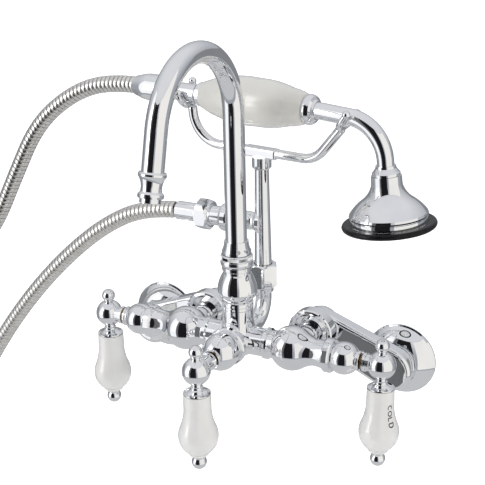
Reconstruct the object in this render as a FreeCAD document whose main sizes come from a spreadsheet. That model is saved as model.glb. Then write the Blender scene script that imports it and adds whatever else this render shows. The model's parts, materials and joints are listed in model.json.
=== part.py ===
import FreeCAD, Part

import math
import os

import Sketcher
from FreeCAD import Placement, Rotation, Vector

# Wall mounted bath faucet with a gooseneck spout, two side valves, a front diverter valve and a hand
# shower on a cradle.  Millimetres, +Z up, the wall is the plane y = 0 and the room is at -Y.  The origin
# is on the wall, midway between the two wall inlets.

doc = FreeCAD.newDocument("wall_bath_faucet")
sheet = doc.addObject("Spreadsheet::Sheet", "sizes")
FORWARD = Vector(0, -1, 0)
BACK = Vector(0, 1, 0)
RIGHT = Vector(1, 0, 0)
LEFT = Vector(-1, 0, 0)
UP = Vector(0, 0, 1)
DOWN = Vector(0, 0, -1)


class Size:
    """A length that carries its number and the sheet expression that gives it."""

    def __init__(self, value, text):
        self.value = value
        self.text = text

    def __add__(self, other):
        return Size(self.value + number(other), f"({self.text} + {words(other)})")

    def __radd__(self, other):
        return Size(number(other) + self.value, f"({words(other)} + {self.text})")

    def __sub__(self, other):
        return Size(self.value - number(other), f"({self.text} - {words(other)})")

    def __rsub__(self, other):
        return Size(number(other) - self.value, f"({words(other)} - {self.text})")

    def __mul__(self, other):
        return Size(self.value * number(other), f"({self.text} * {words(other)})")

    def __rmul__(self, other):
        return Size(number(other) * self.value, f"({words(other)} * {self.text})")

    def __neg__(self):
        return Size(-self.value, f"(-1 * {self.text})")


def number(length):
    return length.value if isinstance(length, Size) else float(length)


def words(length):
    return length.text if isinstance(length, Size) else repr(float(length))


row = 0


def size(alias, value):
    """One driving dimension: a plain number in the sheet under an alias."""
    global row
    row += 1
    sheet.set(f"A{row}", alias)
    sheet.set(f"B{row}", str(value))
    sheet.setAlias(f"B{row}", alias)
    return Size(float(value), f"sizes.{alias}")


# --- driving dimensions -------------------------------------------------------------------------------
inlet_offset = size("inlet_offset", 109.5)            # each wall inlet from the middle
body_depth = size("body_depth", 73)                   # body axis in front of the wall
body_height = size("body_height", 26.5)               # body axis above the wall inlets
union_offset = size("union_offset", 47)               # each union from the middle
bulge_radius = size("bulge_radius", 17.6)
body_end = size("body_end", 82)                       # end face of the body, along its axis
body_ring_radius = size("body_ring_radius", 13.4)
valve_bore = size("valve_bore", 7.6)
waterway = size("waterway", 7.1)
hub_radius = size("hub_radius", 15.4)
hub_top = size("hub_top", 26)                         # top face of the hub above the body axis
diverter_reach = size("diverter_reach", 68)           # diverter handle in front of the body axis
handle_offset = size("handle_offset", 121)            # side handles from the middle
handle_ball = size("handle_ball", 10.9)
handle_knob = size("handle_knob", 5.4)
stem_radius = size("stem_radius", 4)
stem_play = size("stem_play", 0.05)                   # radial play of a stem in its bonnet
lever_top_radius = size("lever_top_radius", 10.4)
lever_belly_radius = size("lever_belly_radius", 15.5)
lever_top = size("lever_top", 18.6)                   # porcelain, distances below the stem axis
lever_bottom = size("lever_bottom", 70.5)
lever_bore = size("lever_bore", 2.7)
finial_radius = size("finial_radius", 5.9)
finial_drop = size("finial_drop", 76)
cold_lever_tilt = 4.0                                 # degrees, the cold lever rests a little forward
spout_radius = size("spout_radius", 8.4)              # gooseneck at its foot
spout_tip_radius = size("spout_tip_radius", 7.9)
spout_wall = size("spout_wall", 1.6)
spout_bend = size("spout_bend", 55.8)
spout_rise = size("spout_rise", 180.9)                # start of the bend above the body axis
spout_slant = size("spout_slant", 13.85)              # outlet limb from the vertical, in degrees
spout_foot = size("spout_foot", 45)
spout_fall = size("spout_fall", 48)                   # straight run from the bend to the outlet
sleeve_foot = size("sleeve_foot", 71.5)
riser_back = size("riser_back", 45)                   # riser axis behind the body axis
riser_nut_foot = size("riser_nut_foot", 28)
riser_nut_top = size("riser_nut_top", 47.5)
riser_top = size("riser_top", 131)
riser_foot_radius = size("riser_foot_radius", 6.9)
riser_top_radius = size("riser_top_radius", 5.6)
riser_bore = size("riser_bore", 4)
branch_height = size("branch_height", 82)             # hose branch above the body axis
branch_end = size("branch_end", 50)                   # end face of the hose branch from the riser axis
hose_radius = size("hose_radius", 7)
cradle_height = size("cradle_height", 141)            # centre of the cradle bar above the body axis
cradle_rod = size("cradle_rod", 3.7)
handset_height = size("handset_height", 179.6)          # handset axis above the body axis
handset_turn = 7.2                                    # degrees, the cradle is clamped a little askew
grip_length = size("grip_length", 96)
grip_belly_radius = size("grip_belly_radius", 18.8)
grip_end_radius = size("grip_end_radius", 11.6)
grip_bore = size("grip_bore", 5.3)
handset_tube = size("handset_tube", 6.5)
neck_bend = size("neck_bend", 32)
neck_reach = size("neck_reach", 107.2)                # neck corner from the riser axis
neck_drop = size("neck_drop", 3)                      # slope of the neck's straight run, in degrees
bell_lean = size("bell_lean", 5)                      # shower head axis from the vertical, in degrees
bell_radius = size("bell_radius", 29.8)
pad_radius = size("pad_radius", 35.9)                 # black rubber ring
flange_radius = size("flange_radius", 29.3)
flange_height = size("flange_height", 13)
arm_front = size("arm_front", 44)                     # swing arm, distances behind the body axis
arm_back = size("arm_back", 58)
arm_union_radius = size("arm_union_radius", 14.4)
arm_inlet_radius = size("arm_inlet_radius", 17.5)
inlet_bore = size("inlet_bore", 9.2)                  # G 1/2 female thread, minor radius
union_nut_radius = size("union_nut_radius", 18.8)
union_nut_front = size("union_nut_front", 31.6)
sheet.recompute()


# --- making the pieces --------------------------------------------------------------------------------
pieces = []


def place(piece, x=0, y=0, z=0, axis=UP, turn=0):
    """Put a piece's local +Z along axis, at a point given from the middle of the body axis."""
    point = Vector(number(x), number(y) - body_depth.value, number(z) + body_height.value)
    spin = Rotation(UP, turn)
    piece.Placement = Placement(point, Rotation(UP, axis).multiply(spin))
    return piece


def keep(name, piece):
    """Name a finished sub-part."""
    piece.Label = name
    pieces.append(piece)
    return piece


def plane(body, role):
    return next(item for item in body.Origin.OriginFeatures if item.Role == role)


def arc_middle(start, end, radius):
    """Middle of the arc between two points.  A positive radius bulges to the right of start-end."""
    chord = end - start
    half = chord.Length / 2
    rise = abs(radius) - math.sqrt(max(radius * radius - half * half, 0))
    right = Vector(chord.y, -chord.x, 0).normalize()
    return (start + end) * 0.5 + right * math.copysign(rise, radius)


def fix_point(sketch, geometry, end, x, y):
    """Hold a sketch point at (x, y) with expressions."""
    for axis, kind, length in ((-2, "DistanceX", x), (-1, "DistanceY", y)):
        if number(length) == 0:
            sketch.addConstraint(Sketcher.Constraint("PointOnObject", geometry, end, axis))
        else:
            held = sketch.addConstraint(Sketcher.Constraint(kind, geometry, end, number(length)))
            sketch.setExpression(f"Constraints[{held}]", words(length))


def outline_sketch(body, role, outline):
    """A closed sketch.  Each point is (x, y) or (x, y, radius of the arc that leads to the next)."""
    sketch = body.newObject("Sketcher::SketchObject", body.Name + "_outline")
    sketch.AttachmentSupport = (plane(body, role), "")
    sketch.MapMode = "FlatFace"
    corners = [Vector(number(point[0]), number(point[1]), 0) for point in outline]
    ends = []
    for index, point in enumerate(outline):
        start = corners[index]
        end = corners[(index + 1) % len(outline)]
        if len(point) == 2:
            edge = sketch.addGeometry(Part.LineSegment(start, end), False)
            ends.append((edge, 1, 2))
            continue
        middle = arc_middle(start, end, number(point[2]))
        edge = sketch.addGeometry(Part.Arc(start, middle, end), False)
        forward = sketch.getPoint(edge, 1).distanceToPoint(start) < 1e-6
        ends.append((edge, 1, 2) if forward else (edge, 2, 1))
    for index, point in enumerate(outline):
        edge, first, last = ends[index]
        following = ends[(index + 1) % len(outline)]
        sketch.addConstraint(Sketcher.Constraint("Coincident", edge, last, following[0], following[1]))
        fix_point(sketch, edge, first, point[0], point[1])
    for index, point in enumerate(outline):
        if len(point) == 3:
            size_of_arc = point[2] if number(point[2]) > 0 else -1 * point[2]
            radius = abs(number(point[2]))
            held = sketch.addConstraint(Sketcher.Constraint("Radius", ends[index][0], radius))
            sketch.setExpression(f"Constraints[{held}]", words(size_of_arc))
    return sketch


def turned(name, outline):
    """A turned piece about its local Z, from points (radius, height[, arc]) that run counter-clockwise.

    An arc's radius is positive where the piece is convex and negative where it is hollow.
    """
    body = doc.addObject("PartDesign::Body", name)
    sketch = outline_sketch(body, "XZ_Plane", outline)
    spin = body.newObject("PartDesign::Revolution", name + "_turn")
    spin.Profile = sketch
    spin.ReferenceAxis = (sketch, ["V_Axis"])
    spin.Angle = 360
    body.Tip = spin
    return body


def cylinder(name, radius, height, x=0, y=0, z=0, axis=UP):
    rod = doc.addObject("Part::Cylinder", name)
    rod.setExpression("Radius", words(radius))
    rod.setExpression("Height", words(height))
    return place(rod, x, y, z, axis)


def fuse(name, parts):
    joined = doc.addObject("Part::MultiFuse", name)
    joined.Shapes = parts
    joined.Refine = True
    return joined


def cut(name, base, tools):
    """Take one or more tools away from a base."""
    result = doc.addObject("Part::Cut", name)
    result.Base = base
    result.Tool = tools[0] if len(tools) == 1 else fuse(name + "_tools", tools)
    result.Refine = True
    return result


def hexagon(name, corner_radius, height, round_off):
    """A hexagonal nut blank whose corners are turned off at both ends."""
    prism = doc.addObject("Part::Prism", name + "_hexagon")
    prism.Polygon = 6
    prism.setExpression("Circumradius", words(corner_radius))
    prism.setExpression("Height", words(height))
    barrel = turned(name + "_barrel", [
        (0, 0), (corner_radius - round_off, 0), (corner_radius + 0.01, round_off * 0.8),
        (corner_radius + 0.01, height - round_off * 0.8), (corner_radius - round_off, height), (0, height)])
    blank = doc.addObject("Part::Common", name + "_blank")
    blank.Base = prism
    blank.Tool = barrel
    return blank


def bent_path(corners, radii):
    """Straight runs joined by tangent arcs through a list of corners, as one wire."""
    edges = []
    start = corners[0]
    for before, corner, after, radius in zip(corners, corners[1:], corners[2:], radii):
        into = (corner - before).normalize()
        out = (after - corner).normalize()
        reach = radius * math.tan(into.getAngle(out) / 2)
        first = corner - into * reach
        last = corner + out * reach
        inward = (out - into).normalize()
        centre = corner + inward * math.hypot(radius, reach)
        middle = centre - inward * radius
        if start.distanceToPoint(first) > 1e-6:
            edges.append(Part.LineSegment(start, first).toShape())
        edges.append(Part.Arc(first, middle, last).toShape())
        start = last
    if start.distanceToPoint(corners[-1]) > 1e-6:
        edges.append(Part.LineSegment(start, corners[-1]).toShape())
    return Part.Wire(edges)


def swept(path, first_radius, last_radius):
    """A round solid along a wire, tapering evenly from one radius to the other."""
    start = path.Edges[0]
    finish = path.Edges[-1]
    shell = Part.BRepOffsetAPI.MakePipeShell(path)
    for edge, end, radius in ((start, start.FirstParameter, first_radius),
                              (finish, finish.LastParameter, last_radius)):
        ring = Part.Circle(edge.valueAt(end), edge.tangentAt(end), radius)
        shell.add(Part.Wire([ring.toShape()]))
        if first_radius == last_radius:
            break
    shell.build()
    shell.makeSolid()
    return shell.shape()


def feature(name, shape):
    item = doc.addObject("Part::Feature", name)
    item.Shape = shape
    return item


# --- the valve body: one casting with three valve chambers ----------------------------------------------
def body_half(name):
    """One side of the casting, from the hub to the end ring."""
    return turned(name, [
        (0, 0), (13, 0), (11.2, 14), (11.2, 24), (12.4, 25), (12.4, 28), (11, 29),
        (bulge_radius * 0.6415, union_offset - 13.5, bulge_radius),
        (bulge_radius * 0.815, union_offset + 10.2, -24),
        (10.5, 66, -40), (11.4, body_end - 7), (body_ring_radius - 1, body_end - 6.5),
        (body_ring_radius, body_end - 5.2), (body_ring_radius, body_end - 1.2),
        (body_ring_radius - 1, body_end), (0, body_end)])


def valve_body():
    hub = turned("body_hub", [
        (0, 0, hub_radius), (hub_radius, hub_radius), (14, hub_radius + 6), (12.2, hub_radius + 16),
        (12.2, hub_radius + hub_top), (0, hub_radius + hub_top)])
    front = turned("body_front", [
        (0, 0), (12.4, 0), (12.4, 12), (14.4, 15), (15.4, 16.4), (15.4, 20), (14.6, 21), (0, 21)])
    rear = turned("body_rear", [(0, 0), (8.6, 0), (8.6, 17), (0, 17)])
    casting = fuse("body_casting", [
        place(body_half("body_right"), axis=RIGHT), place(body_half("body_left"), axis=LEFT),
        place(hub, z=-1 * hub_radius), place(front, axis=FORWARD), place(rear, axis=BACK)])
    bores = [
        cylinder("waterway", waterway, 120, x=-60, axis=RIGHT),
        cylinder("front_bore", valve_bore, 30, axis=FORWARD),
        cylinder("top_bore", 9, 40, z=10),
        cylinder("rear_bore", riser_bore, 30, axis=BACK)]
    for side, outward in ((-1, LEFT), (1, RIGHT)):
        bores.append(cylinder("valve_seat", valve_bore, 30, x=side * (body_end - 24), axis=outward))
        bores.append(cylinder("union_port", 6.4, 30, x=side * union_offset, axis=BACK))
        bores.append(cylinder("union_socket", 9.82, 30, x=side * union_offset, y=11, axis=BACK))
    keep("valve_body", cut("valve_body", casting, bores))


# --- valves and handles ---------------------------------------------------------------------------------
def side_bonnet(name):
    """Domed packing nut on an end of the body."""
    bore = stem_radius + stem_play
    return turned(name, [
        (bore, 0), (9.4, 0, 12.7), (7.2, 19), (7.2, 20), (7.9, 20.4), (7.9, 22), (7.4, 22.4), (bore, 22.4)])


def front_bonnet(name):
    """The larger packing nut of the diverter."""
    bore = stem_radius + stem_play
    return turned(name, [
        (bore, 0), (11.5, 0, 14.6), (7.2, 21.7), (7.2, 23), (7.9, 23.4), (7.9, 25), (7.4, 25.4),
        (bore, 25.4)])


def handle(name, centre, axis, shoulder, tilt=0):
    """Hub, porcelain lever and finial of one handle.  The lever hangs down from the stem's axis."""
    hub_foot = lever_top
    lever_length = lever_bottom - lever_top
    upright = turned(name + "_upright", [
        (2.4, 0), (9.2, 0), (lever_top_radius + 0.1, 0.5), (lever_top_radius + 0.1, 1.3, -9), (4.6, 4.4),
        (4.9, 4.8), (4.9, 6), (4, 6.6), (4, 8.46, handle_ball), (3.4, 28.96), (3.4, 29.765, handle_knob),
        (0.3, 39.352), (0, 39.352), (0, 12), (2.4, 12)])
    length = handle_offset - shoulder
    sleeve = turned(name + "_sleeve", [(0, 0), (6.8, 0), (7.2, 0.5), (7.2, 2.4), (6.4, 3), (6.4, length),
                                       (0, length)])
    socket = cylinder(name + "_socket", stem_radius, 12)
    lever = turned(name + "_porcelain", [
        (lever_bore, 0), (5.6, 0, 3.2), (8.2, 3.2), (9.3, 3.7, 17.4), (lever_belly_radius, 17, 18.5),
        (14, 24.3, -42), (10.7, 43), (lever_top_radius, lever_length), (lever_bore, lever_length)])
    finial = turned(name + "_bolt", [
        (0, 0, finial_radius), (3.4, 10.72), (4.6, 10.9), (4.6, 11.3), (2.3, 11.3), (2.3, 73), (0, 73)])
    outward = Vector(*axis)
    start = centre - outward * (length.value)
    lean = Rotation(outward, -tilt)
    down = lean.multVec(DOWN)

    def below(distance):
        return centre + down * number(distance)

    up = -down
    aim(sleeve, start, outward)
    aim(socket, start, outward)
    aim(upright, below(hub_foot), up)
    hub = cut(name + "_hub", fuse(name + "_hub_solid", [upright, sleeve]), [socket])
    keep(name + "_hub", hub)
    keep(name + "_lever", aim(lever, below(lever_bottom), up))
    keep(name + "_finial", aim(finial, below(finial_drop + finial_radius), up))


def aim(piece, point, direction):
    """Put a piece's local +Z along a direction, at a point given from the middle of the body axis."""
    return place(piece, point.x, point.y, point.z, direction)


def stem(name, length, shoulder):
    """Valve stem with a seat washer head, and a brass shoulder that shows in the gap to the handle."""
    return turned(name, [
        (0, 0), (6.6, 0), (6.6, 4), (stem_radius, 4), (stem_radius, shoulder), (6.2, shoulder),
        (6.2, shoulder + 1.2), (stem_radius, shoulder + 1.2), (stem_radius, length), (0, length)])


def cartridge(name, length):
    """Threaded sleeve that guides a stem inside the body."""
    return turned(name, [
        (stem_radius + 0.4, 0), (valve_bore - 0.05, 0), (valve_bore - 0.05, length),
        (stem_radius + 0.4, length)])


def side_valve(name, axis, tilt):
    side = axis.x
    shoulder = body_end + 23.2
    keep(name + "_bonnet", place(side_bonnet(name + "_bonnet"), x=side * body_end, axis=axis))
    keep(name + "_cartridge", place(cartridge(name + "_cartridge", 20), x=side * (body_end - 20),
                                    axis=axis))
    seat = body_end - 34
    keep(name + "_stem", place(stem(name + "_stem", handle_offset - seat - 4, shoulder - seat),
                               x=side * seat, axis=axis))
    handle(name, Vector(side * handle_offset.value, 0, 0), axis, shoulder + 1.2, tilt)


def diverter_valve():
    foot = -21
    gap = 21 + 26.2
    keep("diverter_bonnet", place(front_bonnet("diverter_bonnet"), y=foot, axis=FORWARD))
    keep("diverter_cartridge", place(cartridge("diverter_cartridge", 12), y=-9, axis=FORWARD))
    keep("diverter_stem", place(stem("diverter_stem", diverter_reach - 10.8, gap - 3), y=-3, axis=FORWARD))
    handle("diverter", Vector(0, -diverter_reach.value, 0), FORWARD,
           handle_offset - diverter_reach + gap + 1.2)


# --- spout ------------------------------------------------------------------------------------------------
def spout():
    joint = spout_radius + 0.4
    keep("spout_base", place(turned("spout_base", [
        (joint, 0), (11.6, 0), (12.4, 0.8), (12.4, 2.4), (11.4, 3.1), (12.4, 3.8), (12.4, 5.4), (11.4, 6.2),
        (11.6, 7.6, 9), (15.6, 15, 27), (10.8, 29.4), (10.8, 31.6), (11.6, 32.2), (11.6, 35), (joint, 35)]),
        z=hub_top))
    keep("spout_nut", place(turned("spout_nut", [
        (joint, 0), (11.6, 0), (12.5, 1.2, 6), (12.5, 4.8), (11.9, 5.2), (12.2, 5.6), (12.2, 9),
        (11.4, 9.8),
        (joint, 9.8)]), z=hub_top + 35.2))
    sleeve = place(turned("spout_sleeve_blank", [
        (spout_radius, 0), (11.4, 0), (11.4, 2, -16), (9.5, 9.4), (9.5, 10.1), (spout_radius, 10.1)]),
        z=sleeve_foot)
    screw_axis = Vector(0.6, -0.8, 0)
    keep("spout_sleeve", cut("spout_sleeve", sleeve, [
        cylinder("set_screw_hole", 1.32, 14, z=sleeve_foot + 3.4, axis=screw_axis)]))
    keep("spout_set_screw", place(turned("spout_set_screw", [(0, 0), (1.3, 0), (1.3, 2.3), (0, 2.3)]),
                                  x=5.16, y=-1 * (spout_radius * 0.82), z=sleeve_foot + 3.4,
                                  axis=screw_axis))
    bend = spout_bend.value
    turned_by = math.radians(180 - spout_slant.value)
    fall = Vector(0, -math.sin(turned_by), math.cos(turned_by))
    bend_end = Vector(0, bend * (math.cos(turned_by) - 1), spout_rise.value + bend * math.sin(turned_by))
    reach = bend * math.tan(turned_by / 4)
    corners = [
        Vector(0, 0, spout_foot.value),
        Vector(0, 0, spout_rise.value + reach),
        bend_end - fall * reach,
        bend_end + fall * (spout_fall.value - 17)]
    path = bent_path(corners, [bend, bend])
    outside = swept(path, spout_radius.value, spout_tip_radius.value)
    inside = swept(path, spout_radius.value - spout_wall.value, spout_tip_radius.value - spout_wall.value)
    keep("spout_tube", place(feature("spout_tube", outside.cut(inside))))
    for index in range(2):
        ring = doc.addObject("Part::Torus", f"spout_o_ring_{index}")
        ring.setExpression("Radius1", words(spout_radius - 0.7))
        ring.Radius2 = 1.05
        place(ring, z=spout_foot + 4 + 5 * index)
    rings = fuse("spout_ring_pair", [doc.getObject("spout_o_ring_0"), doc.getObject("spout_o_ring_1")])
    keep("spout_o_rings", cut("spout_seals", rings, [
        cylinder("spout_ring_inside", spout_radius, 20, z=spout_foot)]))
    socket = spout_tip_radius
    outlet = bend_end + fall * spout_fall.value
    keep("spout_tip", aim(turned("spout_tip", [
        (5.6, 0), (7.5, 0), (7.5, 2.8), (8.8, 3.2), (9.2, 4.6), (8.9, 6), (7.4, 7.6), (7.2, 10.4, -14),
        (9.8, 18), (10, 19.4), (9.2, 20.8), (socket, 20.8), (socket, 17), (5.6, 17)]),
        outlet, -fall))
    keep("aerator", aim(turned("aerator", [(0, 0), (5.55, 0), (5.55, 3), (0, 3)]),
                        outlet - fall * 0.8, -fall))


# --- unions, swing arms and wall flanges ------------------------------------------------------------------
def arm_outline(body, reach, drop):
    """Two round ends joined by straight sides that touch both."""
    sketch = body.newObject("Sketcher::SketchObject", body.Name + "_outline")
    sketch.AttachmentSupport = (plane(body, "XZ_Plane"), "")
    sketch.MapMode = "FlatFace"
    near = Vector(0, 0, 0)
    far = Vector(reach.value, -drop.value, 0)
    along = math.atan2(far.y, far.x)
    lean = math.acos((arm_union_radius.value - arm_inlet_radius.value) / far.Length)
    z_axis = Vector(0, 0, 1)

    def touch(centre, radius, angle):
        return centre + Vector(math.cos(angle), math.sin(angle), 0) * radius

    small = arm_union_radius.value
    large = arm_inlet_radius.value
    upper = along + lean
    lower = along - lean
    near_arc = Part.ArcOfCircle(Part.Circle(near, z_axis, small), upper, lower + 2 * math.pi)
    far_arc = Part.ArcOfCircle(Part.Circle(far, z_axis, large), lower, upper)
    sketch.addGeometry([
        near_arc, Part.LineSegment(touch(near, small, lower), touch(far, large, lower)), far_arc,
        Part.LineSegment(touch(far, large, upper), touch(near, small, upper))], False)
    for first, second in ((0, 1), (1, 2), (2, 3), (3, 0)):
        sketch.addConstraint(Sketcher.Constraint("Tangent", first, 2, second, 1))
    for index, radius in ((0, arm_union_radius), (2, arm_inlet_radius)):
        held = sketch.addConstraint(Sketcher.Constraint("Radius", index, radius.value))
        sketch.setExpression(f"Constraints[{held}]", radius.text)
    fix_point(sketch, 0, 3, 0, 0)
    fix_point(sketch, 2, 3, reach, -1 * drop)
    return sketch


def swing_arm(name, side):
    """Flat hollow arm from a union on the body to a wall inlet, with its threads and water way."""
    reach = inlet_offset - union_offset
    bar = doc.addObject("PartDesign::Body", name + "_bar")
    pad = bar.newObject("PartDesign::Pad", name + "_pad")
    pad.Profile = arm_outline(bar, reach, body_height)
    pad.setExpression("Length", words(arm_back - arm_front))
    pad.Reversed = True
    doc.recompute()
    rounded = bar.newObject("PartDesign::Fillet", name + "_round")
    rounded.Base = (pad, [f"Face{index + 1}" for index, face in enumerate(pad.Shape.Faces)
                          if abs(face.normalAt(0, 0).y) > 0.99])
    rounded.Radius = 3.4
    bar.Tip = rounded
    if side < 0:
        mirror = doc.addObject("Part::Mirroring", name + "_mirror")
        mirror.Source = bar
        mirror.Normal = RIGHT
        bar = mirror
    place(bar, x=side * union_offset, y=arm_front)
    screw = turned(name + "_thread", [(0, 0), (14.6, 0), (15.2, 0.6), (15.2, 8), (0, 8)])
    collar = turned(name + "_collar", [(0, 0), (15, 0), (15, 5), (0, 5)])
    solid = fuse(name + "_solid", [
        bar, place(screw, x=side * union_offset, y=arm_front - 7, axis=BACK),
        place(collar, x=side * inlet_offset, y=arm_back - 2, z=-1 * body_height, axis=BACK)])
    way = cylinder(name + "_way", 5, 62, x=side * union_offset, y=(arm_front + arm_back) * 0.5,
                   axis=Vector(side * reach.value, 0, -body_height.value))
    keep(name, cut(name, solid, [
        way, cylinder(name + "_port", 7, 14, x=side * union_offset, y=arm_front - 8, axis=BACK),
        cylinder(name + "_inlet", inlet_bore, 12, x=side * inlet_offset, y=arm_back - 7, z=-1 * body_height,
                 axis=BACK)]))


def union(name, side):
    centre = side * union_offset
    keep(name + "_union_tail", place(turned(name + "_union_tail", [
        (6, 0), (9.8, 0), (9.8, 12), (10.4, 17), (10.4, 23.1), (13.8, 23.2), (13.8, 24.2), (6, 24.2)]),
        x=centre, y=11, axis=BACK))
    keep(name + "_union_nut", place(turned(name + "_union_nut", [
        (10.8, 2.2), (14.2, 1.6), (15.6, 0.2), (16.4, 0), (18, 0.4), (union_nut_radius, 1.6),
        (union_nut_radius, 10.6), (17.6, 12), (15.3, 12), (15.3, 5.2), (14.2, 5.2), (14.2, 3.1),
        (10.8, 3.1)]),
        x=centre, y=union_nut_front - 0.6, axis=BACK))
    swing_arm(name + "_swing_arm", side)
    keep(name + "_arm_plug", place(turned(name + "_arm_plug", [
        (0, 0), (11.4, 0), (12.2, 0.8), (12.2, 3.2), (10.4, 4.6, 30), (2, 6), (0, 6)]),
        x=centre, y=arm_back, axis=BACK))
    top = flange_height
    rim = flange_radius
    keep(name + "_wall_flange", place(turned(name + "_wall_flange", [
        (15.3, top - 1.6), (rim - 5.5, 3.5), (rim - 2, 0), (rim - 0.4, 0), (rim, 0.6), (rim, 1.8),
        (rim - 1.2, 2.6, 22), (17.6, top), (15.3, top)]),
        x=side * inlet_offset, y=body_depth, z=-1 * body_height, axis=FORWARD))


def union_washers():
    rings = []
    for side in (-1, 1):
        rings.append(place(turned("union_washer", [(7.2, 0), (13.6, 0), (13.6, 1.6), (7.2, 1.6)]),
                           x=side * union_offset, y=35.3, axis=BACK))
    keep("union_washers", fuse("union_washers", rings))


# --- riser and hose branch --------------------------------------------------------------------------------
def riser():
    corners = [Vector(0, 17.05, 0), Vector(0, riser_back.value, 0), Vector(0, riser_back.value, 30)]
    path = bent_path(corners, [20])
    bend = place(feature("riser_bend", swept(path, 6.5, 6.5)))
    collar = place(turned("riser_collar", [
        (0, 0), (7, 0), (8.2, 1), (8.2, 3.6), (7.4, 4.2), (7.4, 7), (0, 7)]), y=riser_back, z=23)
    water = place(feature("riser_water", swept(path, riser_bore.value, riser_bore.value)))
    keep("riser_elbow", cut("riser_elbow", fuse("riser_elbow_solid", [bend, collar]), [water]))
    keep("riser_washer", place(turned("riser_washer", [(4.4, 0), (7.3, 0), (7.3, 1.8), (4.4, 1.8)]),
                               y=riser_back, z=30.1))
    column_foot = 32
    column = place(turned("riser_pipe", [
        (0, 0), (7.4, 0), (7.4, 2.2), (riser_foot_radius, 2.8), (riser_foot_radius, 16),
        (riser_top_radius, riser_top - column_foot - 6), (riser_top_radius, riser_top - column_foot),
        (0, riser_top - column_foot)]), y=riser_back, z=column_foot)
    branch = place(turned("hose_branch", [
        (0, 0), (9.4, 0), (9.4, 3, -6), (7.4, 10), (7.4, 26), (10.8, 28), (11.4, 29.5), (11.4, 33.5),
        (10.6, 35.4), (8, 36.6), (8, branch_end - 4.6), (9, branch_end - 4), (9, branch_end + 4.6),
        (0, branch_end + 4.6)]), y=riser_back, z=branch_height, axis=LEFT)
    body = fuse("riser_solid", [column, branch])
    keep("riser_column", cut("riser_column", body, [
        cylinder("riser_way", riser_bore, branch_height - column_foot + 4, y=riser_back, z=column_foot),
        cylinder("branch_way", riser_bore, 70, y=riser_back, z=branch_height, axis=LEFT)]))
    height = riser_nut_top - riser_nut_foot
    nut = cut("riser_nut", place(hexagon("riser_nut", 12.2, height, 2.2), y=riser_back, z=riser_nut_foot), [
        cylinder("riser_nut_bore", 7.5, height, y=riser_back, z=riser_nut_foot)])
    keep("riser_nut", nut)


def hose_fittings():
    start = branch_end - 4.3
    nut = place(hexagon("hose_nut", 13.2, 12.6, 3), x=-1 * start, y=riser_back, z=branch_height, axis=LEFT)
    keep("hose_nut_lower", cut("hose_nut_lower", nut, [
        cylinder("hose_nut_bore", 9.1, 9.6, x=-1 * start, y=riser_back, z=branch_height, axis=LEFT),
        cylinder("hose_nut_neck", 7.65, 20, x=-1 * start, y=riser_back, z=branch_height, axis=LEFT)]))
    washer = turned("hose_washer_lower", [(4.2, 0), (8.8, 0), (8.8, 0.6), (4.2, 0.6)])
    keep("hose_washer_lower", place(washer, x=-1 * branch_end - 4.65, y=riser_back, z=branch_height, axis=LEFT))
    keep("hose_ferrule_lower", place(turned("hose_ferrule_lower", [
        (3.6, 0), (7.6, 0), (7.6, 22), (7.2, 22.6), (3.6, 22.6)]),
        x=-1 * branch_end - 5.3, y=riser_back, z=branch_height, axis=LEFT))


# --- cradle -----------------------------------------------------------------------------------------------
TURN = Rotation(UP, -handset_turn)
ALONG = TURN.multVec(RIGHT)
ACROSS = TURN.multVec(BACK)


def beside_riser(along, height, across=0):
    """A point given along the handset's direction from the riser axis."""
    return Vector(0, riser_back.value, height) + ALONG * along + ACROSS * across


def round_end(name, radius, point):
    ball = doc.addObject("Part::Sphere", name)
    ball.Radius = radius
    return place(ball, point.x, point.y, point.z)


def cradle():
    rod = cradle_rod.value
    level = cradle_height.value - 0.5
    left_base = beside_riser(-69.2, 169.4)
    right_base = beside_riser(72.5, 169.2)
    rod_ends = [beside_riser(-66, 167.2), beside_riser(71.2, 167.5)]
    path = bent_path([rod_ends[0], beside_riser(-64, level), beside_riser(49, level), rod_ends[1]], [26, 24])
    parts = [place(feature("cradle_rod", swept(path, rod, rod)))]
    for end in rod_ends:
        parts.append(round_end("cradle_rod_end", rod, end))
    forks = (
        ("left", left_base, -0.26, 10.9, 11.5, 17.5),
        ("right", right_base, 0.72, 10.1, 16, 12))
    tine = 2.5
    for name, base, outward, half, near_length, far_length in forks:
        rise = (UP + ALONG * outward).normalize()
        fork = [base + rise * near_length - ACROSS * half, base - ACROSS * half, base + ACROSS * half,
                base + rise * far_length + ACROSS * half]
        path = bent_path(fork, [half - 0.1, half - 0.1])
        parts.append(place(feature(f"cradle_{name}_fork", swept(path, tine, tine))))
        for tip in (fork[0], fork[3]):
            parts.append(round_end(f"cradle_{name}_tip", 3.2, tip))
    boss_foot = riser_top - 4
    parts.append(place(turned("cradle_boss", [
        (0, 0), (6.4, 0), (7.7, 1.3), (7.7, 9.6), (0, 9.6)]), y=riser_back, z=boss_foot))
    saddle = doc.addObject("Part::Box", "cradle_saddle")
    saddle.Length = 30
    saddle.Width = 9
    saddle.Height = 8
    corner = beside_riser(-15, cradle_height.value - 5, -4.5)
    place(saddle, corner.x, corner.y, corner.z, UP, -handset_turn)
    doc.recompute()
    rounded = doc.addObject("Part::Fillet", "cradle_saddle_round")
    rounded.Base = saddle
    rounded.Edges = [(index + 1, 1.6, 1.6) for index in range(12)]
    parts.append(rounded)
    keep("cradle", cut("cradle", fuse("cradle_solid", parts), [
        cylinder("cradle_socket", riser_top_radius + 0.02, 4.1, y=riser_back, z=boss_foot),
        cylinder("cradle_screw_hole", 1.7, 9, y=riser_back, z=boss_foot + 2, axis=FORWARD)]))
    keep("cradle_screw", place(turned("cradle_screw", [(0, 0), (1.7, 0), (1.7, 2.8), (1.2, 3.2), (0, 3.2)]),
                               y=riser_back - riser_top_radius - 0.02, z=boss_foot + 2, axis=FORWARD))


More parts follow.
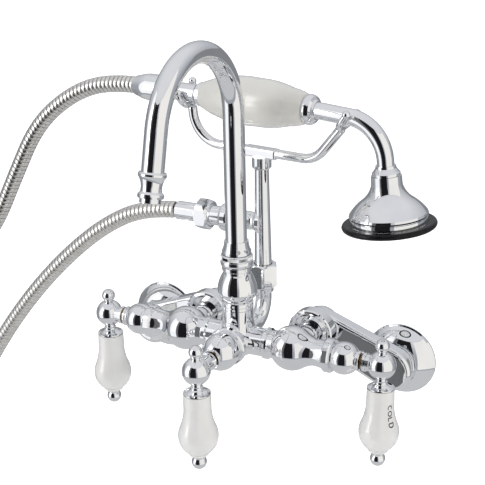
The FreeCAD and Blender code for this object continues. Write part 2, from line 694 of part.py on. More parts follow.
# --- handset ----------------------------------------------------------------------------------------------
def on_handset(name, start, outline):
    """A turned piece along the handset's axis, that starts at a distance from the riser axis."""
    point = beside_riser(number(start), handset_height.value)
    return keep(name, aim(turned(name, outline), point, ALONG))


def handset():
    grip_start = -54
    grip_end = grip_start + grip_length
    on_handset("hose_cone_nut", -122, [
        (7.1, 0), (8, 0), (9.6, 6, 30), (10.9, 14), (10.9, 28), (10.3, 29.4), (8.5, 29.4), (8.5, 14),
        (7.1, 9)])
    on_handset("hose_ferrule_upper", -116, [
        (3.6, 0), (6.9, 0), (6.9, 2.6), (8.4, 9), (8.4, 13.4), (3.6, 13.4)])
    on_handset("hose_washer_upper", -102.5, [(4, 0), (8.3, 0), (8.3, 1.6), (4, 1.6)])
    on_handset("handset_connector", -100.8, [
        (4, 0), (8.4, 0), (8.4, 8), (7.3, 8.6), (7.3, 40), (8.2, 41), (9.6, 43.4), (9.6, 46.6), (5, 46.6),
        (5, 20), (4, 20)])
    on_handset("grip", grip_start, [
        (grip_bore, 0), (9.6, 0, 1.6), (10.9, 1.4, 110), (grip_belly_radius, 52, 92),
        (14.8, 82, 40), (grip_end_radius, grip_length - 0.8), (grip_end_radius - 1, grip_length),
        (grip_bore, grip_length)])
    on_handset("grip_tube", grip_start - 6, [(4, 0), (5, 0), (5, grip_length + 12), (4, grip_length + 12)])
    on_handset("grip_ferrule", number(grip_end), [
        (5, 0.1), (10.6, 0.1), (11.3, 1, 4.4), (11.3, 5), (10.4, 6.6), (8.4, 7.6), (7.5, 9), (7.2, 9.4),
        (6.6, 9.4), (6.6, 3.9), (5, 3.9)])
    tube = handset_tube.value
    grip_face = number(grip_end)
    slope = math.radians(neck_drop.value)
    lean = math.radians(bell_lean.value)
    start = beside_riser(grip_face + 4, handset_height.value)
    knee = beside_riser(grip_face + 12, handset_height.value)
    corner = knee + (ALONG * math.cos(slope) - UP * math.sin(slope)) * (neck_reach.value - grip_face - 12)
    down = ALONG * math.sin(lean) - UP * math.cos(lean)

    def below(distance):
        return corner + down * distance

    path = bent_path([start, knee, corner, below(38)], [60, neck_bend.value])
    outside = swept(path, tube, tube - 0.1)
    inside = swept(path, tube - 1.5, tube - 1.6)
    keep("handset_neck", place(feature("handset_neck", outside.cut(inside))))

    def under_neck(name, foot, outline):
        return keep(name, aim(turned(name, outline), below(foot), -down))

    under_neck("head_collar", 38.5, [
        (6.5, 0), (10.4, 0), (10.6, 2), (9.6, 3), (7.8, 5.6), (7.6, 7.4), (6.5, 7.4)])
    under_neck("shower_head", 74.5, [
        (26, 0), (29.2, 0), (29.2, 4), (28.4, 4.4), (29.2, 4.8), (bell_radius, 6), (29.2, 7.6, 42),
        (20.4, 16.6, -21), (11.7, 28.7), (11.4, 35.9), (5, 35.9), (5, 33.9), (9.6, 33.9), (9.8, 28, 21),
        (18.6, 15, -42), (26, 7.6)])
    under_neck("spray_plate", 78.1, [
        (0, 0), (20, 0.6), (26, 1.6), (28.2, 3.5), (25.8, 3.6), (25.8, 6), (0, 6)])
    under_neck("head_rubber_ring", 78.9, [
        (28.4, 1.6), (29.6, 0.4), (33.6, 0, 2.2), (pad_radius - 0.4, 1.6, 1.6), (pad_radius - 0.4, 3.2, 2),
        (33.6, 4.6), (29.4, 4.3), (28.6, 3.9)])


# --- hose -------------------------------------------------------------------------------------------------
HOSE = [
    (-78.5, 45, 82), (-108, 45, 80), (-146, 42, 62), (-186, 38, 29), (-224, 33, -12), (-258, 28, -58),
    (-289, 25, -109), (-310, 26, -166), (-319, 29, -230), (-317, 33, -297), (-320, 36.5, -360),
    (-342, 40, -407), (-386, 43, -433), (-438, 45, -428.5), (-477.5, 46, -395), (-491, 47, -345),
    (-490, 48, -282), (-477, 48, -218), (-452, 48, -156), (-417, 48.5, -100), (-369, 49.5, -52),
    (-317, 50.5, -8), (-275, 52, 38), (-250, 54.5, 88), (-224, 57.5, 137), (-186, 60.5, 167.6),
    (-150, 62.5, 179.6), (-121.6, 60.4, 179.6)]


def hose():
    points = [Vector(*point) for point in HOSE]
    runs = [(after - before).Length for before, after in zip(points, points[1:])]
    radii = []
    for index in range(1, len(points) - 1):
        into = points[index] - points[index - 1]
        out = points[index + 1] - points[index]
        radii.append(0.45 * min(runs[index - 1], runs[index]) / math.tan(into.getAngle(out) / 2))
    path = bent_path(points, radii)
    solid = swept(path, hose_radius.value, hose_radius.value)
    section = math.pi * hose_radius.value ** 2
    print("hose length", round(path.Length, 1), "volume over section times length",
          round(solid.Volume / section / path.Length, 4))
    print("hose bend radii", [round(radius) for radius in radii])
    print("hose runs", [round(run) for run in runs])
    keep("hose", place(feature("hose", solid)))


def check_and_write():
    doc.recompute()
    for item in doc.Objects:
        if "Invalid" in item.State or "Error" in item.State:
            raise RuntimeError(f"{item.Name} failed: {item.State}")
    os.makedirs("parts", exist_ok=True)
    for piece in pieces:
        if piece.Shape.isNull() or not piece.Shape.isValid() or not piece.Shape.Solids:
            raise RuntimeError(f"{piece.Label} has no valid solid")
        piece.Shape.exportStep(f"parts/{piece.Label}.step")
    print(len(pieces), "pieces written")


valve_body()
side_valve("hot", LEFT, 0)
side_valve("cold", RIGHT, cold_lever_tilt)
diverter_valve()
spout()
union("hot", -1)
union("cold", 1)
union_washers()
riser()
hose_fittings()
cradle()
handset()
hose()
check_and_write()
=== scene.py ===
import json
import math

import bmesh
import bpy
from mathutils import Matrix, Vector
from mathutils.bvhtree import BVHTree


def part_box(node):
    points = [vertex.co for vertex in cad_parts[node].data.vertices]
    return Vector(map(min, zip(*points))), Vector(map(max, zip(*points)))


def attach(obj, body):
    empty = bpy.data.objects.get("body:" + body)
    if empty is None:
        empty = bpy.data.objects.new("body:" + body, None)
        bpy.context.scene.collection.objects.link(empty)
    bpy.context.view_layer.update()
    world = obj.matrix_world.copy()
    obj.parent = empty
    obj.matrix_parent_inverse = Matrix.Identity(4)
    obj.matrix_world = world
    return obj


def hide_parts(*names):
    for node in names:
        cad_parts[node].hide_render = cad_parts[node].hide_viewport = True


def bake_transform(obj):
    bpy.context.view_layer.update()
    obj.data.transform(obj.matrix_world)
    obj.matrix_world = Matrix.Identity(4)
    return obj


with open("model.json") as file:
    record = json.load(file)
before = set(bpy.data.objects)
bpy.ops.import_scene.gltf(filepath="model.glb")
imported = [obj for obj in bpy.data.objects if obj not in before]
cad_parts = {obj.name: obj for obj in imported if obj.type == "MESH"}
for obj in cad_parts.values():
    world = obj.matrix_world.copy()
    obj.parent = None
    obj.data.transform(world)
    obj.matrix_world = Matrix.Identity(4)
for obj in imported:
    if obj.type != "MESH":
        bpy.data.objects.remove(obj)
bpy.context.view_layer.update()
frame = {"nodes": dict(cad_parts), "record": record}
scene = bpy.context.scene
scene.view_settings.view_transform = "Standard"

BODY_AXIS = Vector((0, -0.073, 0.0265))     # the middle of the body axis in the row frame


def spot(x, y, z):
    """A point given in millimetres from the middle of the body axis, in the row frame."""
    return BODY_AXIS + Vector((x, y, z)) / 1000


def mesh_object(name, points, faces, smooth=True):
    mesh = bpy.data.meshes.new(name)
    mesh.from_pydata([tuple(point) for point in points], [], faces)
    mesh.polygons.foreach_set("use_smooth", [smooth] * len(mesh.polygons))
    piece = bpy.data.objects.new(name, mesh)
    scene.collection.objects.link(piece)
    return piece


# --- camera --------------------------------------------------------------------------------------
CAMERA_RIGHT = Vector((0.88712587, 0.46112103, -0.01936706))
CAMERA_UP = Vector((-0.13947611, 0.30785896, 0.94115316))
CAMERA_BACK = Vector((0.43994784, -0.83222008, 0.33742501))
CAMERA_PLACE = (0.43716, -0.88993, 0.43812)
CAMERA_LENS = 95.07
CAMERA_AZIMUTH = math.radians(27.9)


def add_camera():
    camera = bpy.data.objects.new("camera", bpy.data.cameras.new("camera"))
    scene.collection.objects.link(camera)
    turn = Matrix((CAMERA_RIGHT, CAMERA_UP, CAMERA_BACK)).transposed()
    camera.matrix_world = Matrix.Translation(CAMERA_PLACE) @ turn.to_4x4()
    camera.data.sensor_width = 36
    camera.data.lens = CAMERA_LENS
    camera.data.clip_start = 0.01
    camera.data.clip_end = 50
    scene.camera = camera


# --- hose ----------------------------------------------------------------------------------------
HOSE_ROUTE = [
    (-78.5, 45, 82), (-108, 45, 80), (-146, 42, 62), (-186, 38, 29), (-224, 33, -12), (-258, 28, -58),
    (-289, 25, -109), (-310, 26, -166), (-319, 29, -230), (-317, 33, -297), (-320, 36.5, -360),
    (-342, 40, -407), (-386, 43, -433), (-438, 45, -428.5), (-477.5, 46, -395), (-491, 47, -345),
    (-490, 48, -282), (-477, 48, -218), (-452, 48, -156), (-417, 48.5, -100), (-369, 49.5, -52),
    (-317, 50.5, -8), (-275, 52, 38), (-250, 54.5, 88), (-224, 57.5, 137), (-186, 60.5, 167.6),
    (-150, 62.5, 179.6), (-121.6, 60.4, 179.6)]
HOSE_RADIUS = 0.007
HOSE_PITCH = 0.0041
# One turn of the metal strip: share of the pitch, and how far it lies under the outer radius.
STRIP = [(0.0, 0.0009), (0.05, 0.0008), (0.085, 0.00008), (0.18, 0.0), (0.5, 0.00002), (0.84, 0.0001),
         (0.93, 0.00025)]
# Painted shade: the strip faces in these columns are coloured dark, standing in for the shadow inside
# the grooves between the turns.
SHADED_GROOVE_COLUMNS = (0, 6)
HOSE_FACETS = 26            # round one turn of the strip


def centreline(name, route):
    """The points of the NURBS line through a route."""
    curve = bpy.data.curves.new(name, "CURVE")
    curve.dimensions = "3D"
    curve.resolution_u = 40
    spline = curve.splines.new("NURBS")
    spline.points.add(len(route) - 1)
    for control, place in zip(spline.points, route):
        control.co = (*spot(*place), 1)
    spline.order_u = 3
    spline.use_endpoint_u = True
    holder = bpy.data.objects.new(name, curve)
    scene.collection.objects.link(holder)
    bpy.context.view_layer.update()
    line = [vertex.co.copy() for vertex in bpy.data.meshes.new_from_object(holder).vertices]
    bpy.data.objects.remove(holder)
    return line


class Track:
    """A line with a frame that doesn't twist, read at any distance along it."""
    def __init__(self, line):
        self.line = line
        self.run = [0.0]
        self.along = []
        for before, after in zip(line, line[1:]):
            self.run.append(self.run[-1] + (after - before).length)
            self.along.append((after - before).normalized())
        self.along.append(self.along[-1])
        side = self.along[0].orthogonal().normalized()
        self.side = [side]
        for before, after in zip(self.along, self.along[1:]):
            side = before.rotation_difference(after) @ side
            side = (side - after * side.dot(after)).normalized()
            self.side.append(side)
        self.length = self.run[-1]
        self.cursor = 0

    def at(self, distance):
        """Point, side and third direction. Distances are asked for in nearly rising order."""
        distance = min(max(distance, 0), self.length)
        while self.cursor and self.run[self.cursor] > distance:
            self.cursor -= 1
        while self.cursor < len(self.run) - 2 and self.run[self.cursor + 1] < distance:
            self.cursor += 1
        index = self.cursor
        share = (distance - self.run[index]) / (self.run[index + 1] - self.run[index])
        along = self.along[index].lerp(self.along[index + 1], share).normalized()
        side = self.side[index].lerp(self.side[index + 1], share)
        side = (side - along * side.dot(along)).normalized()
        return self.line[index].lerp(self.line[index + 1], share), side, along.cross(side)


def spiral_hose(line):
    """The interlocked metal strip of the hose, wound round its centreline."""
    around = HOSE_FACETS
    track = Track(line)
    turns = round(track.length / HOSE_PITCH)
    pitch = track.length / turns
    width = len(STRIP)
    points = []
    for step in range(turns * around + 1):
        angle = 2 * math.pi * step / around
        for share, depth in STRIP:
            centre, side, third = track.at((step / around + share) * pitch)
            outward = side * math.cos(angle) + third * math.sin(angle)
            points.append(centre + outward * (HOSE_RADIUS - depth))
    faces, finish = [], []
    for step in range(turns * around):
        for column in range(width):
            first = step * width + column
            count = len(faces)
            if column < width - 1:
                faces.append((first, first + width, first + width + 1, first + 1))
            elif step + around + 1 <= turns * around:
                above = (step + around) * width
                faces.append((first, first + width, above + width, above))
            # Faces in the groove columns take the second material, the painted groove shade.
            finish += [int(column in SHADED_GROOVE_COLUMNS)] * (len(faces) - count)
    hose = mesh_object("hose_spiral", points, faces)
    hose.data.materials.append(hose_steel())
    hose.data.materials.append(painted_groove_shade())
    hose.data.polygons.foreach_set("material_index", finish)
    return hose


def add_hose():
    line = centreline("hose_route", HOSE_ROUTE)
    hose = spiral_hose(line)
    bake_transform(hose)
    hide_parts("hose")


# --- materials -----------------------------------------------------------------------------------
class Shader:
    """A material with one Principled shader, and a few ready ways to feed it."""
    def __init__(self, name, colour, **sockets):
        self.material = bpy.data.materials.new(name)
        self.material.use_nodes = True
        self.nodes = self.material.node_tree.nodes
        self.links = self.material.node_tree.links
        self.shader = self.nodes["Principled BSDF"]
        self.shader.inputs["Base Color"].default_value = (*colour, 1)
        for socket, value in sockets.items():
            self.shader.inputs[socket.replace("_", " ")].default_value = value
        self.where = self.nodes.new("ShaderNodeTexCoord").outputs["Object"]

    def noise(self, scale, detail=3, roughness=0.5, stretch=None):
        texture = self.nodes.new("ShaderNodeTexNoise")
        texture.inputs["Scale"].default_value = scale
        texture.inputs["Detail"].default_value = detail
        texture.inputs["Roughness"].default_value = roughness
        where = self.where
        if stretch:
            mapping = self.nodes.new("ShaderNodeMapping")
            mapping.inputs["Scale"].default_value = stretch
            self.links.new(where, mapping.inputs["Vector"])
            where = mapping.outputs["Vector"]
        self.links.new(where, texture.inputs["Vector"])
        return texture.outputs["Fac"]

    def ramp(self, value, low, high, start=0.35, end=0.65):
        """Maps a value to the range low to high."""
        node = self.nodes.new("ShaderNodeMapRange")
        node.inputs["From Min"].default_value = start
        node.inputs["From Max"].default_value = end
        node.inputs["To Min"].default_value = low
        node.inputs["To Max"].default_value = high
        self.links.new(value, node.inputs["Value"])
        return node.outputs["Result"]

    def roughness(self, value, low, high):
        self.links.new(self.ramp(value, low, high), self.shader.inputs["Roughness"])

    def colours(self, value, first, last, start=0.35, end=0.65):
        node = self.nodes.new("ShaderNodeValToRGB")
        node.color_ramp.elements[0].position = start
        node.color_ramp.elements[0].color = (*first, 1)
        node.color_ramp.elements[1].position = end
        node.color_ramp.elements[1].color = (*last, 1)
        self.links.new(value, node.inputs["Fac"])
        self.links.new(node.outputs["Color"], self.shader.inputs["Base Color"])

    def bump(self, value, distance, strength=1.0):
        node = self.nodes.new("ShaderNodeBump")
        node.inputs["Distance"].default_value = distance
        node.inputs["Strength"].default_value = strength
        self.links.new(value, node.inputs["Height"])
        self.links.new(node.outputs["Normal"], self.shader.inputs["Normal"])


def chrome():
    made = Shader("chrome_plate", (0.86, 0.87, 0.885), Metallic=1.0)
    made.roughness(made.noise(900, 4), 0.025, 0.07)
    made.colours(made.noise(45, 2), (0.83, 0.84, 0.86), (0.88, 0.885, 0.895))
    made.bump(made.noise(60, 1), 0.00004, 0.5)
    return made.material


def porcelain(name, dark, light):
    made = Shader(name, light, Coat_Weight=1.0, Coat_Roughness=0.02, IOR=1.52)
    made.colours(made.noise(30, 3), dark, light)
    made.roughness(made.noise(300, 3), 0.14, 0.24)
    made.bump(made.noise(90, 1), 0.0001, 0.5)
    return made.material


def printed_ink():
    made = Shader("fired_ink", (0.06, 0.06, 0.065))
    made.colours(made.noise(1500, 3), (0.02, 0.02, 0.022), (0.06, 0.06, 0.065))
    made.roughness(made.noise(900, 3), 0.25, 0.4)
    return made.material


def brass():
    made = Shader("turned_brass", (0.4, 0.26, 0.13), Metallic=1.0)
    made.colours(made.noise(400, 4), (0.16, 0.09, 0.04), (0.34, 0.21, 0.1))
    made.roughness(made.noise(900, 4), 0.2, 0.4)
    made.bump(made.noise(2500, 2, stretch=(0.05, 1, 1)), 0.00002, 0.5)
    return made.material


def rubber(name, dark, light, low, high, gloss=0.4):
    made = Shader(name, dark, Specular_IOR_Level=gloss)
    made.colours(made.noise(250, 5), dark, light)
    made.roughness(made.noise(500, 4), low, high)
    made.bump(made.noise(2500, 3), 0.00003, 0.5)
    return made.material


def hose_steel():
    made = Shader("hose_strip_steel", (0.76, 0.745, 0.71), Metallic=1.0)
    made.colours(made.noise(220, 4), (0.7, 0.68, 0.64), (0.82, 0.81, 0.785))
    made.roughness(made.noise(900, 4), 0.16, 0.3)
    made.bump(made.noise(3000, 3), 0.00002, 0.5)
    return made.material


# Painted shade: a dark steel colour for the hose's grooves, standing in for the shadow in the gaps
# between the strip's turns.
def painted_groove_shade():
    made = Shader("hose_groove_painted_shade", (0.14, 0.13, 0.12), Metallic=1.0)
    made.colours(made.noise(400, 3), (0.1, 0.095, 0.09), (0.2, 0.19, 0.175))
    made.roughness(made.noise(900, 3), 0.4, 0.6)
    return made.material


def plastic():
    made = Shader("moulded_plastic", (0.82, 0.82, 0.81))
    made.colours(made.noise(120, 3), (0.78, 0.78, 0.77), (0.86, 0.86, 0.85))
    made.roughness(made.noise(700, 4), 0.3, 0.45)
    made.bump(made.noise(3000, 2), 0.00003, 0.5)
    return made.material


def screw_steel():
    made = Shader("screw_steel", (0.5, 0.5, 0.5), Metallic=1.0)
    made.colours(made.noise(700, 4), (0.4, 0.4, 0.41), (0.6, 0.6, 0.6))
    made.roughness(made.noise(1200, 4), 0.25, 0.4)
    made.bump(made.noise(4000, 2, stretch=(1, 1, 0.1)), 0.00002, 0.5)
    return made.material


def paint_nodes():
    """Gives every CAD node the finish of its material slot; the grip then gets a darker copy of the
    glaze, which is painted shade.
    """
    finishes = {
        "chrome": chrome(), "brass": brass(),
        "porcelain": porcelain("glazed_porcelain", (0.82, 0.815, 0.8), (0.87, 0.865, 0.85)),
        "seal_rubber": rubber("seal_rubber", (0.03, 0.03, 0.03), (0.07, 0.07, 0.07), 0.55, 0.75),
        "black_rubber": rubber("satin_black_rubber", (0.003, 0.003, 0.0035), (0.009, 0.009, 0.01),
                               0.16, 0.28, gloss=0.2),
        "spray_plastic": plastic(), "screw_steel": screw_steel()}
    for row in frame["record"]["subparts"]:
        finish = finishes.get(row["material_slot"])
        if finish:
            node = frame["nodes"][row["node"]]
            node.data.materials.clear()
            node.data.materials.append(finish)
    # Painted shade: the grip takes a darker, creamier copy of the same glaze as the levers, standing in
    # for the shade on the grip.
    grip = frame["nodes"]["grip"]
    grip.data.materials.clear()
    grip.data.materials.append(porcelain("grip_porcelain_painted_shade", (0.72, 0.71, 0.665), (0.77, 0.76, 0.715)))
    return finishes


# --- details -------------------------------------------------------------------------------------
def band(points, faces, ring, rings):
    """Adds the side faces between rings of points that lie one after another, from a first index."""
    for level in range(rings - 1):
        for column in range(ring):
            after = (column + 1) % ring
            low, high = level * ring, (level + 1) * ring
            faces.append((low + column, low + after, high + after, high + column))


def add_knurl(finish):
    """The finely knurled band round the top of the spout nut."""
    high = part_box("spout_nut")[1]
    teeth = 76
    # Each level: depth under the nut's top, radius, and how far the teeth stand out, in millimetres.
    levels = [(4.1, 11.9, 0), (3.9, 12.2, 0.1), (3.6, 12.2, 0.36), (1.4, 12.2, 0.36), (1.1, 12.2, 0.1),
              (0.9, 11.9, 0)]
    points, faces = [], []
    for below, radius, tooth in levels:
        for index in range(2 * teeth):
            angle = math.pi * index / teeth
            reach = (radius + tooth * (index % 2)) / 1000
            points.append((reach * math.cos(angle), BODY_AXIS.y + reach * math.sin(angle),
                           high.z - below / 1000))
    band(points, faces, 2 * teeth, len(levels))
    knurl = mesh_object("spout_nut_knurl", points, faces, smooth=False)
    knurl.data.materials.append(finish)
    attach(knurl, "valve_body_group")


def frame_about(axis):
    side = axis.orthogonal().normalized()
    return side, axis.cross(side)


def add_nozzles():
    """Rings of small soft nozzles under the spray plate."""
    low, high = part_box("spray_plate")
    turn, lean = math.radians(7.2), math.radians(5)
    down = Vector((math.cos(turn) * math.sin(lean), -math.sin(turn) * math.sin(lean), -math.cos(lean)))
    side, third = frame_about(down)
    centre = (low + high) / 2 + down * 0.003
    points, faces = [], []
    sides = 10
    outline = [(1.15, -0.4), (1.05, 0.5), (0.8, 0.9), (0.42, 0.95), (0.36, 0.5)]
    for radius, count, rise in ((0, 1, 0), (5, 6, 0.15), (10, 12, 0.3), (15, 18, 0.45), (20, 24, 0.6),
                                (24.4, 30, 1.3)):
        for index in range(count):
            angle = 2 * math.pi * (index + 0.5 * (radius % 2)) / count
            foot = centre + (side * math.cos(angle) + third * math.sin(angle)) * radius / 1000
            first = len(points)
            for reach, height in outline:
                for corner in range(sides):
                    about = 2 * math.pi * corner / sides
                    out = side * math.cos(about) + third * math.sin(about)
                    points.append(foot + out * reach / 1000 + down * (height - rise) / 1000)
            made = []
            band(points, made, sides, len(outline))
            made.append(tuple(reversed(range(sides))))
            made.append(tuple(range((len(outline) - 1) * sides, len(outline) * sides)))
            faces += [tuple(first + corner for corner in face) for face in made]
    nozzles = mesh_object("spray_nozzles", points, faces)
    nozzles.data.materials.append(rubber("nozzle_rubber", (0.2, 0.2, 0.205), (0.3, 0.3, 0.305),
                                         0.4, 0.6))
    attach(nozzles, "handset")


def add_aerator_mesh():
    """The crossed wires of the aerator, seen from under the spout."""
    low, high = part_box("aerator")
    slant = math.radians(13.85)
    down = Vector((0, -math.sin(slant), -math.cos(slant)))
    side, third = Vector((1, 0, 0)), down.cross(Vector((1, 0, 0)))
    centre = (low + high) / 2 + down * 0.00152
    wires = bmesh.new()
    mesh_radius, spacing, wire = 0.0053, 0.0014, 0.0002
    for way, across in ((side, third), (third, side)):
        for index in range(-3, 4):
            shift = index * spacing
            half = math.sqrt(mesh_radius ** 2 - shift ** 2)
            made = bmesh.ops.create_cone(wires, cap_ends=True, segments=8, radius1=wire, radius2=wire,
                                         depth=2 * half)
            turn = way.to_track_quat("Z", "Y").to_matrix().to_4x4()
            lift = 0.0001 if way is side else -0.0001
            bmesh.ops.transform(wires, verts=made["verts"],
                                matrix=Matrix.Translation(centre + across * shift + down * lift) @ turn)
    mesh = bpy.data.meshes.new("aerator_wires")
    wires.to_mesh(mesh)
    wires.free()
    grid = bpy.data.objects.new("aerator_wires", mesh)
    scene.collection.objects.link(grid)
    mesh.materials.append(screw_steel())
    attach(grid, "spout")


def bow(centre_x, half_width, start, end, steps=26):
    """Points of an upright oval arc one letter high."""
    angles = [math.radians(start + (end - start) * step / steps) for step in range(steps + 1)]
    return [(centre_x + half_width * math.cos(angle), 0.5 + 0.5 * math.sin(angle)) for angle in angles]


# Each letter: its strokes in letter heights, then its advance.
LETTERS = {
    "C": ([bow(0.4, 0.36, 48, 312)], 0.98),
    "O": ([bow(0.4, 0.38, 90, 450)], 1.02),
    "L": ([[(0.08, 1), (0.08, 0), (0.58, 0)]], 0.86),
    "D": ([[(0.08, 0), (0.08, 1), *bow(0.3, 0.38, 90, -90), (0.08, 0)]], 0.94),
    "H": ([[(0.08, 0), (0.08, 1)], [(0.08, 0.5), (0.68, 0.5)], [(0.68, 0), (0.68, 1)]], 1.0),
    "T": ([[(0.0, 1), (0.7, 1)], [(0.35, 1), (0.35, 0)]], 0.9)}


# The four corners of a stroke: across it in letter heights, and above the glaze in metres.
INK_SECTION = ((0.095, -0.00008), (0.095, 0.00006), (-0.095, 0.00006), (-0.095, -0.00008))
LETTER_HEIGHT = 0.0046
LEVER_RADIUS = 0.014        # where the letters lie


def dense(stroke, step=0.06):
    """The stroke with points added, so that it follows a curved surface."""
    made = [stroke[0]]
    for (x0, y0), (x1, y1) in zip(stroke, stroke[1:]):
        parts = max(1, math.ceil(math.hypot(x1 - x0, y1 - y0) / step))
        made += [(x0 + (x1 - x0) * part / parts, y0 + (y1 - y0) * part / parts)
                 for part in range(1, parts + 1)]
    return made


def add_word(word, lever, body, azimuth, lean):
    """A word fired into the glaze of a lever, read downwards, facing an azimuth in degrees."""
    size = LETTER_HEIGHT
    low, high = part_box(lever)
    top = Vector(((low.x + high.x) / 2, BODY_AXIS.y, high.z))
    down = Vector((0, -math.sin(math.radians(lean)), -math.cos(math.radians(lean))))
    top.y -= (BODY_AXIS.z - high.z) * math.tan(math.radians(lean))
    mesh = frame["nodes"][lever].data
    surface = BVHTree.FromPolygons([vertex.co for vertex in mesh.vertices],
                                   [polygon.vertices for polygon in mesh.polygons])
    length = sum(LETTERS[letter][1] for letter in word) * size
    start = 0.37 * (high.z - low.z) - length / 2
    points, faces = [], []

    def on_glaze(along, up, lift):
        angle = math.radians(azimuth) + (up - 0.5) * size / LEVER_RADIUS
        outward = Vector((math.sin(angle), -math.cos(angle), 0))
        origin = top + down * along + outward * 0.04
        hit = surface.ray_cast(origin, -outward)[0]
        return hit + outward * lift

    for letter in word:
        strokes, advance = LETTERS[letter]
        for stroke in strokes:
            line = dense(stroke)
            first = len(points)
            for index, (x, y) in enumerate(line):
                before, after = line[max(index - 1, 0)], line[min(index + 1, len(line) - 1)]
                run = Vector((after[0] - before[0], after[1] - before[1])).normalized()
                for across, lift in INK_SECTION:
                    points.append(on_glaze(start + (x - run.y * across) * size, y + run.x * across,
                                           lift))
            for index in range(len(line) - 1):
                for side in range(4):
                    here, there = first + 4 * index + side, first + 4 * index + (side + 1) % 4
                    faces.append((here, there, there + 4, here + 4))
            last = first + 4 * (len(line) - 1)
            faces.append((first + 3, first + 2, first + 1, first))
            faces.append((last, last + 1, last + 2, last + 3))
        start += advance * size
    lettering = mesh_object(f"{body}_word", points, faces, smooth=False)
    lettering.data.materials.append(printed_ink())
    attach(lettering, body)


# --- stage ---------------------------------------------------------------------------------------
FLOOR = -0.6
CARD_DISTANCE = 3.0
SWEEP_START, SWEEP_RADIUS, SWEEP_TOP = 2.6, 1.4, 4.5


def glowing(name, colour, strength):
    material = bpy.data.materials.new(name)
    material.use_nodes = True
    nodes = material.node_tree.nodes
    nodes.remove(nodes["Principled BSDF"])
    glow = nodes.new("ShaderNodeEmission")
    glow.inputs["Color"].default_value = (*colour, 1)
    glow.inputs["Strength"].default_value = strength
    material.node_tree.links.new(glow.outputs["Emission"], nodes["Material Output"].inputs["Surface"])
    return material


def reflected_only(screen):
    """A studio card: the metal reflects it, and the camera doesn't see it."""
    screen.visible_camera = False
    screen.visible_shadow = False


def round_card(name, from_azimuth, to_azimuth, low, high, colour, strength, nearer=0.0):
    """A curved card round the object, between two azimuths and two elevations in degrees."""
    steps = 24
    reach = CARD_DISTANCE - nearer
    points, faces = [], []
    for index in range(steps + 1):
        azimuth = math.radians(from_azimuth + (to_azimuth - from_azimuth) * index / steps)
        for elevation in (low, high):
            points.append(BODY_AXIS + Vector((math.sin(azimuth) * reach, -math.cos(azimuth) * reach,
                                              math.tan(math.radians(elevation)) * reach)))
        if index:
            last = 2 * index
            faces.append((last - 2, last, last + 1, last - 1))
    card = mesh_object(name, points, faces)
    card.data.materials.append(glowing(name, colour, strength))
    reflected_only(card)


def table_card(radius, colour, strength):
    """The pale table top under the object, as the metal reflects it."""
    steps = 64
    angles = [2 * math.pi * step / steps for step in range(steps)]
    points = [(radius * math.cos(angle), radius * math.sin(angle), FLOOR) for angle in angles]
    card = mesh_object("table_card", points, [tuple(range(steps))], smooth=False)
    card.data.materials.append(glowing("table_card", colour, strength))
    reflected_only(card)


def floor_and_backdrop():
    """A pale floor that sweeps up behind the object."""
    material = bpy.data.materials.new("pale_floor")
    material.use_nodes = True
    shader = material.node_tree.nodes["Principled BSDF"]
    shader.inputs["Base Color"].default_value = (0.8, 0.8, 0.8, 1)
    shader.inputs["Roughness"].default_value = 0.9
    shader.inputs["Emission Color"].default_value = (1, 1, 1, 1)
    shader.inputs["Emission Strength"].default_value = 0.72
    outline = [(-3.0, FLOOR), (SWEEP_START, FLOOR)]
    for step in range(1, 9):
        angle = math.radians(90 * step / 8)
        outline.append((SWEEP_START + SWEEP_RADIUS * math.sin(angle),
                        FLOOR + SWEEP_RADIUS * (1 - math.cos(angle))))
    outline.append((SWEEP_START + SWEEP_RADIUS, SWEEP_TOP))
    points = [(x, y, z) for y, z in outline for x in (-5, 5)]
    faces = [(2 * i, 2 * i + 1, 2 * i + 3, 2 * i + 2) for i in range(len(outline) - 1)]
    sweep = mesh_object("floor_sweep", points, faces)
    sweep.data.materials.append(material)
    sweep.data.transform(Matrix.Rotation(CAMERA_AZIMUTH, 4, "Z"))
    sweep.visible_glossy = False


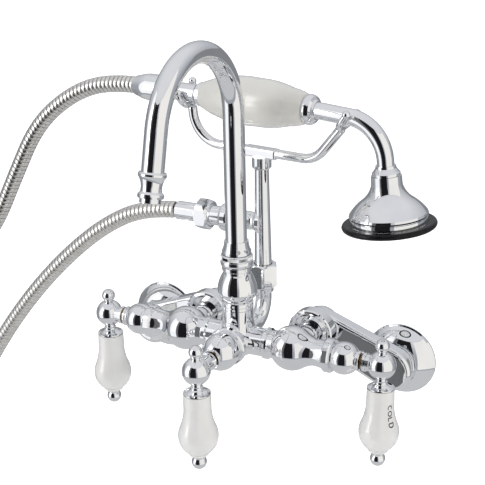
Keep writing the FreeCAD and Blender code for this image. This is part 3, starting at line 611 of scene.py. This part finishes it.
def add_stage():
    round_card("dark_card", -18, 27, -31, 44, (0.012, 0.012, 0.014), 1)
    round_card("grey_card", -29, -18, -31, 44, (0.95, 0.97, 1.0), 0.16)
    round_card("left_softbox", -68, -29, -31, 44, (0.97, 0.98, 1.0), 1.1)
    round_card("left_core", -52, -36, -6, 34, (1.0, 0.985, 0.95), 3.5, 0.02)
    round_card("right_softbox", 38, 112, -31, 44, (1.0, 0.98, 0.94), 0.95)
    round_card("rear_card", 140, 275, -31, 12, (0.92, 0.95, 1.0), 0.27)
    table_card(1.0, (0.97, 0.98, 1.0), 0.6)
    floor_and_backdrop()
    world = bpy.data.worlds.new("studio")
    scene.world = world
    world.use_nodes = True
    nodes, links = world.node_tree.nodes, world.node_tree.links
    height = nodes.new("ShaderNodeSeparateXYZ")
    fade = nodes.new("ShaderNodeValToRGB")
    fade.color_ramp.elements[0].position = 0.0
    fade.color_ramp.elements[0].color = (0.36, 0.38, 0.41, 1)
    fade.color_ramp.elements[1].position = 0.8
    fade.color_ramp.elements[1].color = (0.76, 0.765, 0.79, 1)
    links.new(nodes.new("ShaderNodeTexCoord").outputs["Generated"], height.inputs["Vector"])
    links.new(height.outputs["Z"], fade.inputs["Fac"])
    links.new(fade.outputs["Color"], nodes["Background"].inputs["Color"])


def area_light(name, place, size, power, colour=(1, 1, 1)):
    light = bpy.data.lights.new(name, "AREA")
    light.shape = "RECTANGLE"
    light.size, light.size_y = size
    light.energy = power
    light.color = colour
    lamp = bpy.data.objects.new(name, light)
    scene.collection.objects.link(lamp)
    lamp.location = place
    lamp.rotation_euler = (BODY_AXIS - Vector(place)).to_track_quat("-Z", "Y").to_euler()
    lamp.visible_glossy = False


def add_lights():
    area_light("key", (-1.4, -1.7, 1.6), (1.0, 1.4), 3)
    area_light("fill", (2.2, -1.0, 1.2), (1.0, 1.6), 2, (1, 0.98, 0.95))
    area_light("top", (0.2, -0.2, 2.4), (1.6, 1.6), 3)


add_camera()
add_hose()
finishes = paint_nodes()
add_knurl(finishes["chrome"])
add_nozzles()
add_aerator_mesh()
add_word("COLD", "cold_lever", "cold_handle", 65, 4)
add_word("HOT", "hot_lever", "hot_handle", -65, 0)
add_stage()
add_lights()
